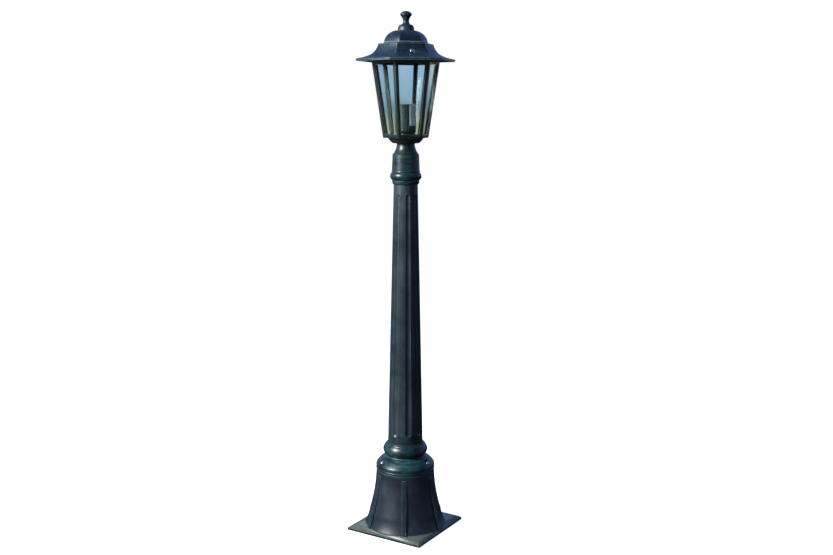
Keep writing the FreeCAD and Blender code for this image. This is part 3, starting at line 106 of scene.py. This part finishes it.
def brushed_paint(name, body, shade, green, brushed, edge_wear_and_highlight_colour, edges, rough, streak):
    """Cast aluminium, sprayed satin black and then dry-brushed by hand with dark green.

    The green catches in streaks along the brush. Outward edges are painted lighter all round,
    partly as wear and partly as a painted highlight where the edges catch the light. Under it the
    sand-cast skin shows as fine pebbles. brushed and edges are amounts, and streak is the size of a
    streak across and upwards in mm, wider than a real bristle's mark so that it shows."""
    material, tree, shader, place = new_material(
        name, IOR=1.5, Metallic=0.0, Coat_Weight=0.2, Coat_Roughness=0.28, Coat_IOR=1.45)
    across, upwards = [1 / (size * MM) for size in streak]
    along = add(tree, "ShaderNodeMapping", {"Vector": place, "Scale": (across, across, upwards)})
    streaks = add(tree, "ShaderNodeTexNoise", {
        "Vector": along.outputs["Vector"], "Scale": 1.0, "Detail": 5.0, "Roughness": 0.62})
    clouds = add(tree, "ShaderNodeTexNoise", {
        "Vector": place, "Scale": 1 / (45 * MM), "Detail": 4.0, "Roughness": 0.55})
    # A sand mould's grains are nearer 0.3 mm. They are drawn coarser, so that they show.
    sand = add(tree, "ShaderNodeTexNoise", {"Vector": place, "Scale": 1 / (1.6 * MM), "Detail": 3.0})
    ground = add(tree, "ShaderNodeValToRGB", {"Fac": clouds.outputs["Fac"]},
                 [(0.36, linear(shade)), (0.66, linear(body))])
    streaked = add(tree, "ShaderNodeValToRGB", {"Fac": streaks.outputs["Fac"]},
                   [(0.42, BLACK), (0.68, WHITE)])
    clouded = add(tree, "ShaderNodeValToRGB", {"Fac": clouds.outputs["Fac"]},
                  [(0.40, BLACK), (0.60, WHITE)])
    laid_on = add(tree, "ShaderNodeMath", {0: streaked.outputs["Color"], 1: clouded.outputs["Color"]},
                  operation="MULTIPLY")
    amount = add(tree, "ShaderNodeMath", {0: laid_on.outputs["Value"], 1: brushed}, operation="MULTIPLY")
    greened = add(tree, "ShaderNodeMix", {
        0: amount.outputs["Value"], 6: ground.outputs["Color"], 7: linear(green)}, data_type="RGBA")
    # Outward edges, found with the Bevel node, are painted lighter: partly wear, partly a painted highlight
    # where the edges catch the light.
    face = add(tree, "ShaderNodeNewGeometry").outputs["True Normal"]
    rounded = add(tree, "ShaderNodeBevel", {"Radius": 1.5 * MM}, samples=6)
    flatness = add(tree, "ShaderNodeVectorMath", {0: rounded.outputs["Normal"], 1: face},
                   operation="DOT_PRODUCT")
    # The streaks that it is multiplied by average a half, so it is doubled here.
    edge = add(tree, "ShaderNodeMapRange", {
        "Value": flatness.outputs["Value"], "From Min": 0.985, "From Max": 0.88, "To Min": 0.0,
        "To Max": edges * 2})
    worn_and_highlit = add(tree, "ShaderNodeMath", {0: edge.outputs["Result"], 1: streaks.outputs["Fac"]},
                 operation="MULTIPLY")
    colour = add(tree, "ShaderNodeMix", {
        0: worn_and_highlit.outputs["Value"], 6: greened.outputs[2], 7: linear(edge_wear_and_highlight_colour)}, data_type="RGBA")
    tree.links.new(colour.outputs[2], shader.inputs["Base Color"])
    dullness = add(tree, "ShaderNodeMapRange", {
        "Value": clouds.outputs["Fac"], "From Min": 0.3, "From Max": 0.7, "To Min": rough - 0.06,
        "To Max": rough + 0.08})
    tree.links.new(dullness.outputs["Result"], shader.inputs["Roughness"])
    pebbled = add(tree, "ShaderNodeBump", {
        "Height": sand.outputs["Fac"], "Distance": 0.08 * MM, "Strength": 0.5})
    stroked = add(tree, "ShaderNodeBump", {
        "Height": streaks.outputs["Fac"], "Distance": 0.12 * MM, "Strength": 0.3,
        "Normal": pebbled.outputs["Normal"]})
    tree.links.new(stroked.outputs["Normal"], shader.inputs["Normal"])
    return material


def settle_dust(material, colour, height):
    """Lays grey-green road dust on the level faces of a paint, up to a height above the ground."""
    tree = material.node_tree
    shader = tree.nodes["Principled BSDF"]
    paint = shader.inputs["Base Color"].links[0].from_socket
    place = add(tree, "ShaderNodeTexCoord").outputs["Object"]
    face = add(tree, "ShaderNodeNewGeometry").outputs["True Normal"]
    upward = add(tree, "ShaderNodeSeparateXYZ", {"Vector": face}).outputs["Z"]
    level = add(tree, "ShaderNodeMapRange", {"Value": upward, "From Min": 0.45, "From Max": 0.8})
    above = add(tree, "ShaderNodeSeparateXYZ", {"Vector": place}).outputs["Z"]
    low = add(tree, "ShaderNodeMapRange", {"Value": above, "From Min": height * 1.25, "From Max": height})
    grit = add(tree, "ShaderNodeTexNoise", {
        "Vector": place, "Scale": 1 / (12 * MM), "Detail": 8.0, "Roughness": 0.7})
    patchy = add(tree, "ShaderNodeMapRange", {
        "Value": grit.outputs["Fac"], "From Min": 0.3, "From Max": 0.6, "To Min": 0.3, "To Max": 0.85})
    where = add(tree, "ShaderNodeMath", {0: level.outputs["Result"], 1: low.outputs["Result"]},
                operation="MULTIPLY")
    film = add(tree, "ShaderNodeMath", {0: where.outputs["Value"], 1: patchy.outputs["Result"]},
               operation="MULTIPLY")
    dusty = add(tree, "ShaderNodeMix", {0: film.outputs["Value"], 6: paint, 7: linear(colour)},
                data_type="RGBA")
    tree.links.new(dusty.outputs[2], shader.inputs["Base Color"])
    return material


def float_glass():
    """Float glass, 3 mm: clear, with a trace of green and the faint upright smears that wiping leaves.

    It lets the lamps' light straight through, so that the holder inside is lit."""
    material, tree, shader, place = new_material("float_glass", IOR=1.45, Transmission_Weight=1.0)
    upright = add(tree, "ShaderNodeMapping", {"Vector": place, "Scale": (1.0, 1.0, 0.3)})
    smears = add(tree, "ShaderNodeTexNoise", {
        "Vector": upright.outputs["Vector"], "Scale": 1 / (20 * MM), "Detail": 5.0, "Roughness": 0.6})
    haze = add(tree, "ShaderNodeMapRange", {
        "Value": smears.outputs["Fac"], "From Min": 0.35, "From Max": 0.75, "To Min": 0.01, "To Max": 0.10})
    tree.links.new(haze.outputs["Result"], shader.inputs["Roughness"])
    tint = add(tree, "ShaderNodeValToRGB", {"Fac": smears.outputs["Fac"]},
               [(0.3, linear("F2F9F6")), (0.8, linear("E2EEEA"))])
    tree.links.new(tint.outputs["Color"], shader.inputs["Base Color"])
    waves = add(tree, "ShaderNodeTexNoise", {"Vector": place, "Scale": 1 / (60 * MM), "Detail": 1.0})
    ripple = add(tree, "ShaderNodeBump", {
        "Height": waves.outputs["Fac"], "Distance": 0.05 * MM, "Strength": 0.15})
    tree.links.new(ripple.outputs["Normal"], shader.inputs["Normal"])
    lamplight = add(tree, "ShaderNodeLightPath").outputs["Is Shadow Ray"]
    clear = add(tree, "ShaderNodeBsdfTransparent", {"Color": linear("EEF4F2")})
    both = add(tree, "ShaderNodeMixShader", {
        0: lamplight, 1: shader.outputs["BSDF"], 2: clear.outputs["BSDF"]})
    tree.links.new(both.outputs["Shader"], tree.nodes["Material Output"].inputs["Surface"])
    return material


def moulded_phenolic():
    """Phenolic lamp holder: pressed in a mould, dark green-black, half gloss, with faint flow marks."""
    material, tree, shader, place = new_material("moulded_phenolic", IOR=1.55, Roughness=0.34)
    flow = add(tree, "ShaderNodeTexNoise", {
        "Vector": place, "Scale": 1 / (9 * MM), "Detail": 5.0, "Distortion": 0.8})
    body = add(tree, "ShaderNodeValToRGB", {"Fac": flow.outputs["Fac"]},
               [(0.35, linear("141F1F")), (0.7, linear("1D2B2B"))])
    tree.links.new(body.outputs["Color"], shader.inputs["Base Color"])
    skin = add(tree, "ShaderNodeBump", {
        "Height": flow.outputs["Fac"], "Distance": 0.08 * MM, "Strength": 0.3})
    tree.links.new(skin.outputs["Normal"], shader.inputs["Normal"])
    return material


def rolled_brass():
    """Rolled brass sheet, a little dulled, with draw lines round it, drawn coarser than real to show."""
    material, tree, shader, place = new_material("rolled_brass", Metallic=1.0, Roughness=0.3)
    round_it = add(tree, "ShaderNodeMapping", {"Vector": place, "Scale": (0.1, 0.1, 1.0)})
    lines = add(tree, "ShaderNodeTexNoise", {
        "Vector": round_it.outputs["Vector"], "Scale": 1 / (1.2 * MM), "Detail": 3.0})
    tone = add(tree, "ShaderNodeValToRGB", {"Fac": lines.outputs["Fac"]},
               [(0.3, linear("A8823E")), (0.7, linear("D0AA5E"))])
    tree.links.new(tone.outputs["Color"], shader.inputs["Base Color"])
    grooves = add(tree, "ShaderNodeBump", {
        "Height": lines.outputs["Fac"], "Distance": 0.05 * MM, "Strength": 0.2})
    tree.links.new(grooves.outputs["Normal"], shader.inputs["Normal"])
    return material


def zinc_plate():
    """Steel, bright zinc plated: cool grey, patchy where the crystals turn, with a soft shine.

    The crystals are drawn coarser than real, so that they show."""
    material, tree, shader, place = new_material("zinc_plated_steel", Metallic=1.0)
    crystals = add(tree, "ShaderNodeTexVoronoi", {"Vector": place, "Scale": 1 / (3.5 * MM)})
    tone = add(tree, "ShaderNodeValToRGB", {"Fac": crystals.outputs["Distance"]},
               [(0.0, linear("8E9396")), (0.8, linear("B3B8BA"))])
    tree.links.new(tone.outputs["Color"], shader.inputs["Base Color"])
    scuffs = add(tree, "ShaderNodeTexNoise", {"Vector": place, "Scale": 1 / (6 * MM), "Detail": 5.0})
    dullness = add(tree, "ShaderNodeMapRange", {
        "Value": scuffs.outputs["Fac"], "From Min": 0.3, "From Max": 0.7, "To Min": 0.28, "To Max": 0.5})
    tree.links.new(dullness.outputs["Result"], shader.inputs["Roughness"])
    return material


def polished_stainless():
    """Stainless steel screw heads, tumbled bright. The scratches are drawn coarser than real to show."""
    material, tree, shader, place = new_material("polished_stainless", Metallic=1.0, Roughness=0.34)
    scratches = add(tree, "ShaderNodeTexNoise", {"Vector": place, "Scale": 1 / (0.8 * MM), "Detail": 3.0})
    tone = add(tree, "ShaderNodeValToRGB", {"Fac": scratches.outputs["Fac"]},
               [(0.3, linear("C4C8CC")), (0.7, linear("E4E7EA"))])
    tree.links.new(tone.outputs["Color"], shader.inputs["Base Color"])
    worn = add(tree, "ShaderNodeBump", {
        "Height": scratches.outputs["Fac"], "Distance": 0.03 * MM, "Strength": 0.2})
    tree.links.new(worn.outputs["Normal"], shader.inputs["Normal"])
    return material


def extruded_rubber(name, body, bloom):
    """Black rubber, extruded: near black and matt, with a faint powdery bloom.

    Its grain is drawn coarser than real, so that it shows."""
    material, tree, shader, place = new_material(name, IOR=1.5, Roughness=0.72)
    powder = add(tree, "ShaderNodeTexNoise", {"Vector": place, "Scale": 1 / (7 * MM), "Detail": 5.0})
    tone = add(tree, "ShaderNodeValToRGB", {"Fac": powder.outputs["Fac"]},
               [(0.35, linear(body)), (0.8, linear(bloom))])
    tree.links.new(tone.outputs["Color"], shader.inputs["Base Color"])
    grain = add(tree, "ShaderNodeTexNoise", {"Vector": place, "Scale": 1 / (0.8 * MM)})
    skin = add(tree, "ShaderNodeBump", {
        "Height": grain.outputs["Fac"], "Distance": 0.05 * MM, "Strength": 0.3})
    tree.links.new(skin.outputs["Normal"], shader.inputs["Normal"])
    return material


def ivory_polyamide():
    """Polyamide terminal block: moulded, ivory, with a dull grained skin, drawn coarser than real to show."""
    material, tree, shader, place = new_material("ivory_polyamide", IOR=1.53, Roughness=0.5)
    grain = add(tree, "ShaderNodeTexNoise", {"Vector": place, "Scale": 1 / (0.9 * MM)})
    tone = add(tree, "ShaderNodeValToRGB", {"Fac": grain.outputs["Fac"]},
               [(0.3, linear("D3CDBB")), (0.7, linear("DED9CA"))])
    tree.links.new(tone.outputs["Color"], shader.inputs["Base Color"])
    skin = add(tree, "ShaderNodeBump", {
        "Height": grain.outputs["Fac"], "Distance": 0.05 * MM, "Strength": 0.3})
    tree.links.new(skin.outputs["Normal"], shader.inputs["Normal"])
    return material


def blank_sticker():
    """Coated paper sticker with nothing printed on it: pale grey-blue, smooth, a little soiled."""
    material, tree, shader, place = new_material("blank_coated_paper", IOR=1.5, Roughness=0.4)
    soiling = add(tree, "ShaderNodeTexNoise", {"Vector": place, "Scale": 1 / (6 * MM), "Detail": 5.0})
    tone = add(tree, "ShaderNodeValToRGB", {"Fac": soiling.outputs["Fac"]},
               [(0.3, linear("C0CCD4")), (0.7, linear("DCE6EC"))])
    tree.links.new(tone.outputs["Color"], shader.inputs["Base Color"])
    skin = add(tree, "ShaderNodeBump", {
        "Height": soiling.outputs["Fac"], "Distance": 0.03 * MM, "Strength": 0.2})
    tree.links.new(skin.outputs["Normal"], shader.inputs["Normal"])
    return material


FLOOR_LIFT = 0.93  # light that the floor gives off, to the camera only


def studio_floor():
    """Matt floor: the camera sees it almost white, and it throws little light back on the post."""
    material = bpy.data.materials.new("studio_floor")
    material.use_nodes = True
    tree = material.node_tree
    tree.nodes.clear()
    seen = add(tree, "ShaderNodeLightPath").outputs["Is Camera Ray"]
    place = add(tree, "ShaderNodeTexCoord").outputs["Object"]
    tone = add(tree, "ShaderNodeTexNoise", {"Vector": place, "Scale": 1 / 0.4, "Detail": 2.0})
    pale = add(tree, "ShaderNodeValToRGB", {"Fac": tone.outputs["Fac"]},
               [(0.3, linear("EDEDEC")), (0.7, linear("F3F3F3"))])
    colour = add(tree, "ShaderNodeMix", {0: seen, 6: linear("4A473F"), 7: pale.outputs["Color"]},
                 data_type="RGBA")
    matt = add(tree, "ShaderNodeBsdfDiffuse", {"Color": colour.outputs[2]})
    lift = add(tree, "ShaderNodeMath", {0: seen, 1: FLOOR_LIFT}, operation="MULTIPLY")
    glow = add(tree, "ShaderNodeEmission", {"Color": WHITE, "Strength": lift.outputs["Value"]})
    both = add(tree, "ShaderNodeAddShader", {0: matt.outputs["BSDF"], 1: glow.outputs["Emission"]})
    add(tree, "ShaderNodeOutputMaterial", {"Surface": both.outputs["Shader"]})
    return material


MATERIALS = {
    "pedestal_paint": settle_dust(
        brushed_paint("brushed_paint_pedestal", body="1F2A34", shade="172028", green="33524E", brushed=0.30,
                      edge_wear_and_highlight_colour="49686A", edges=0.9, rough=0.42, streak=(7, 80)),
        colour="626A50", height=10 * MM),
    "moulding_paint": brushed_paint(
        "brushed_paint_mouldings", body="17232A", shade="10191F", green="24665D", brushed=0.8,
        edge_wear_and_highlight_colour="3B726B", edges=0.6, rough=0.34, streak=(24, 4)),
    "shaft_paint": brushed_paint(
        "brushed_paint_shaft", body="253239", shade="1B272D", green="3A544F", brushed=0.45,
        edge_wear_and_highlight_colour="4E6562", edges=0.7, rough=0.42, streak=(3.5, 110)),
    "lantern_paint": brushed_paint(
        "brushed_paint_lantern", body="1D2B2A", shade="141F1E", green="2F524C", brushed=0.5,
        edge_wear_and_highlight_colour="3C5A55", edges=0.6, rough=0.40, streak=(4, 40)),
    # The roof's body and shade are bluer than the other paints: a painted reflection of the sky on its
    # slopes. Its pale blue edge colour is a painted highlight along the corners, on top of wear.
    "roof_paint": brushed_paint(
        "brushed_paint_roof_painted_sky_tint", body="182531", shade="101A24", green="2C5458", brushed=0.5,
        edge_wear_and_highlight_colour="86A0AC", edges=1.0, rough=0.42, streak=(7, 14)),
    "clear_glass": float_glass(),
    "holder_plastic": moulded_phenolic(),
    "shell_brass": rolled_brass(),
    "zinc_steel": zinc_plate(),
    "stainless": polished_stainless(),
    "black_rubber": extruded_rubber("black_epdm_rubber", body="17191A", bloom="25282A"),
    "terminal_plastic": ivory_polyamide(),
    "flex_jacket": extruded_rubber("flex_rubber_jacket", body="1C1E20", bloom="2B2E30"),
    "blank_paper": blank_sticker(),
}


def dress_nodes():
    """Gives each CAD node the finish of its material slot."""
    for entry in frame["record"]["subparts"]:
        piece = frame["nodes"][entry["node"]]
        piece.data.materials.clear()
        piece.data.materials.append(MATERIALS[entry["material_slot"]])


# ---------------------------------------------------------------- castings with softened edges

SOFT_CASTINGS = {  # node: (body it rides on, radius of its cast edges in mm)
    "pedestal": ("post", 0.9),
    "lantern_cage": ("post", 0.5),
    "roof_shell": ("roof", 0.8),
    "roof_dome": ("roof", 0.7),
}
SHARP = math.radians(28)  # an edge at least this sharp is rounded, or else shaded as a crease
LEVEL = math.radians(0.6)  # faces that meet flatter than this are joined
WELD = 0.002 * MM  # vertices closer than this are the same one
SLOT_OF = {entry["node"]: entry["material_slot"] for entry in frame["record"]["subparts"]}


def is_cast_edge(edge):
    """True for an outward corner, which the sand mould leaves rounded."""
    return len(edge.link_faces) == 2 and edge.is_convex and edge.calc_face_angle() > SHARP


def soften_casting(name, body, radius):
    """A copy of a CAD casting with its outward edges rounded, which stands for the node."""
    source = frame["nodes"][name]
    mesh = bmesh.new()
    mesh.from_mesh(source.data)
    bmesh.ops.remove_doubles(mesh, verts=mesh.verts, dist=WELD)
    bmesh.ops.dissolve_limit(mesh, angle_limit=LEVEL, verts=mesh.verts, edges=mesh.edges)
    edges = [edge for edge in mesh.edges if is_cast_edge(edge)]
    bmesh.ops.bevel(mesh, geom=edges, offset=radius * MM, offset_type="OFFSET", affect="EDGES", segments=2,
                    profile=0.5, material=-1, clamp_overlap=True)
    data = bpy.data.meshes.new(name + "_casting")
    mesh.to_mesh(data)
    mesh.free()
    data.shade_smooth()
    data.set_sharp_from_angle(angle=SHARP)
    data.materials.append(MATERIALS[SLOT_OF[name]])
    piece = bpy.data.objects.new(name + "_casting", data)
    bpy.context.collection.objects.link(piece)
    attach(piece, body)
    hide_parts(name)


# ---------------------------------------------------------------- stage, lights and camera

CAMERA_AZIMUTH = math.radians(-58.6)
CAMERA_DISTANCE = 2.069
CAMERA_HEIGHT = 0.8727
CAMERA_PITCH = math.radians(9.5)
CAMERA_SIDESTEP = 0.0220
CAMERA_ROLL = math.radians(0.2)
CAMERA_LENS = 44.86
SENSOR_WIDTH = 36


def around_post(azimuth, distance, height):
    """A place round the post: azimuth from +X in radians, distance from the axis, height."""
    return Vector((distance * math.cos(azimuth), distance * math.sin(azimuth), height))


def make_camera():
    """The camera, level with the lantern and looking a little down on the plate."""
    camera = bpy.data.objects.new("camera", bpy.data.cameras.new("camera"))
    bpy.context.collection.objects.link(camera)
    camera.data.lens = CAMERA_LENS
    camera.data.sensor_width = SENSOR_WIDTH
    right = Vector((-math.sin(CAMERA_AZIMUTH), math.cos(CAMERA_AZIMUTH), 0))
    camera.location = around_post(CAMERA_AZIMUTH, CAMERA_DISTANCE, CAMERA_HEIGHT) + right * CAMERA_SIDESTEP
    turn = Euler((math.pi / 2 - CAMERA_PITCH, 0, CAMERA_AZIMUTH + math.pi / 2)).to_matrix()
    camera.rotation_euler = (turn @ Matrix.Rotation(CAMERA_ROLL, 3, "Z")).to_euler()
    bpy.context.scene.camera = camera


def softbox(name, side, distance, height, size, power, tint, aim):
    """A rectangular light. side is its angle round the post in degrees, to the camera's left (+) or right.

    distance and height place it in metres, and aim is the height on the post that it points at."""
    lamp = bpy.data.lights.new(name, "AREA")
    lamp.shape = "RECTANGLE"
    lamp.size, lamp.size_y = size
    lamp.energy = power
    lamp.color = linear(tint)[:3]
    light = bpy.data.objects.new(name, lamp)
    light.location = around_post(CAMERA_AZIMUTH - math.radians(side), distance, height)
    light.rotation_euler = (Vector((0, 0, aim)) - light.location).to_track_quat("-Z", "Y").to_euler()
    bpy.context.collection.objects.link(light)


def make_lights():
    """A soft key and a tall dim fill, both on the camera's left."""
    softbox("key_left", side=60, distance=2.4, height=1.8, size=(0.8, 0.8), power=135, tint="F8FAFF", aim=0.4)
    softbox("fill_left", side=60, distance=2.4, height=1.2, size=(0.6, 2.0), power=12, tint="DDEBF5", aim=0.5)


SKY_STOPS = [  # sine of the elevation, and the sky's colour there
    (-1.0, "4A4A38"), (-0.060, "8A8C66"), (-0.030, "D2CB98"), (-0.016, "B6B894"), (-0.010, "8796A0"),
    (0.000, "8DA5BC"), (0.008, "A9C6E2"), (0.040, "B4D2FC"), (0.30, "6A8CC8"), (1.0, "4E68BC"),
]
TREETOPS = 0.024  # how far the treetops rise and fall, as a sine
DIMMEST = 0.22  # the sky's strength on the camera's side
HORIZON_GLOW = 0.85  # its least strength along the horizon, all the way round


def make_world():
    """A clear sky over dry ground, which the paint reflects and the panes show; plain white to the camera.

    Away from the horizon it is dimmer on the camera's side, as it is in front of dark trees."""
    world = bpy.data.worlds.new("open_sky")
    bpy.context.scene.world = world
    world.use_nodes = True
    tree = world.node_tree
    tree.nodes.clear()
    way = add(tree, "ShaderNodeTexCoord").outputs["Generated"]
    upward = add(tree, "ShaderNodeSeparateXYZ", {"Vector": way}).outputs["Z"]
    treetops = add(tree, "ShaderNodeTexNoise", {"Vector": way, "Scale": 45.0, "Detail": 3.0})
    uneven = add(tree, "ShaderNodeMath", {0: treetops.outputs["Fac"], 1: -TREETOPS, 2: upward},
                 operation="MULTIPLY_ADD")
    lifted = add(tree, "ShaderNodeMath", {0: uneven.outputs["Value"], 1: TREETOPS / 2}, operation="ADD")
    level = add(tree, "ShaderNodeMapRange", {
        "Value": lifted.outputs["Value"], "From Min": -1.0, "From Max": 1.0})
    sky = add(tree, "ShaderNodeValToRGB", {"Fac": level.outputs["Result"]},
              [((sine + 1) / 2, linear(colour)) for sine, colour in SKY_STOPS])
    to_camera = around_post(CAMERA_AZIMUTH, 1.0, 0.0)
    nearness = add(tree, "ShaderNodeVectorMath", {0: way, 1: to_camera}, operation="DOT_PRODUCT")
    dimming = add(tree, "ShaderNodeMapRange", {
        "Value": nearness.outputs["Value"], "From Min": -0.35, "From Max": 0.55, "To Min": 1.0,
        "To Max": DIMMEST})
    slope = add(tree, "ShaderNodeMath", {0: upward}, operation="ABSOLUTE")
    horizon = add(tree, "ShaderNodeMapRange", {
        "Value": slope.outputs["Value"], "From Min": 0.035, "From Max": 0.10, "To Min": HORIZON_GLOW,
        "To Max": 0.0})
    strength = add(tree, "ShaderNodeMath", {0: dimming.outputs["Result"], 1: horizon.outputs["Result"]},
                   operation="MAXIMUM")
    seen = add(tree, "ShaderNodeLightPath").outputs["Is Camera Ray"]
    surroundings = add(tree, "ShaderNodeBackground", {
        "Color": sky.outputs["Color"], "Strength": strength.outputs["Value"]})
    backdrop = add(tree, "ShaderNodeBackground", {"Color": WHITE, "Strength": 1.0})
    both = add(tree, "ShaderNodeMixShader", {0: seen, 1: surroundings.outputs[0], 2: backdrop.outputs[0]})
    add(tree, "ShaderNodeOutputWorld", {"Surface": both.outputs["Shader"]})


FLOOR_REACH = 15  # from the post to the middle of the floor's edge, m
FLOOR_GAP = 0.5 * MM  # under the plate, so that the two faces don't flicker


def make_floor():
    """A plain level floor, just under the post."""
    mesh = bmesh.new()
    bmesh.ops.create_grid(mesh, x_segments=1, y_segments=1, size=FLOOR_REACH)
    data = bpy.data.meshes.new("floor")
    mesh.to_mesh(data)
    mesh.free()
    data.materials.append(studio_floor())
    floor = bpy.data.objects.new("floor", data)
    floor.data.transform(Matrix.Translation((0, 0, START_BOUNDS[0][2] - FLOOR_GAP)))
    bpy.context.collection.objects.link(floor)


dress_nodes()
for casting, (body, radius) in SOFT_CASTINGS.items():
    soften_casting(casting, body, radius)
make_floor()
make_world()
make_lights()
make_camera()
bpy.context.scene.view_settings.view_transform = "Standard"
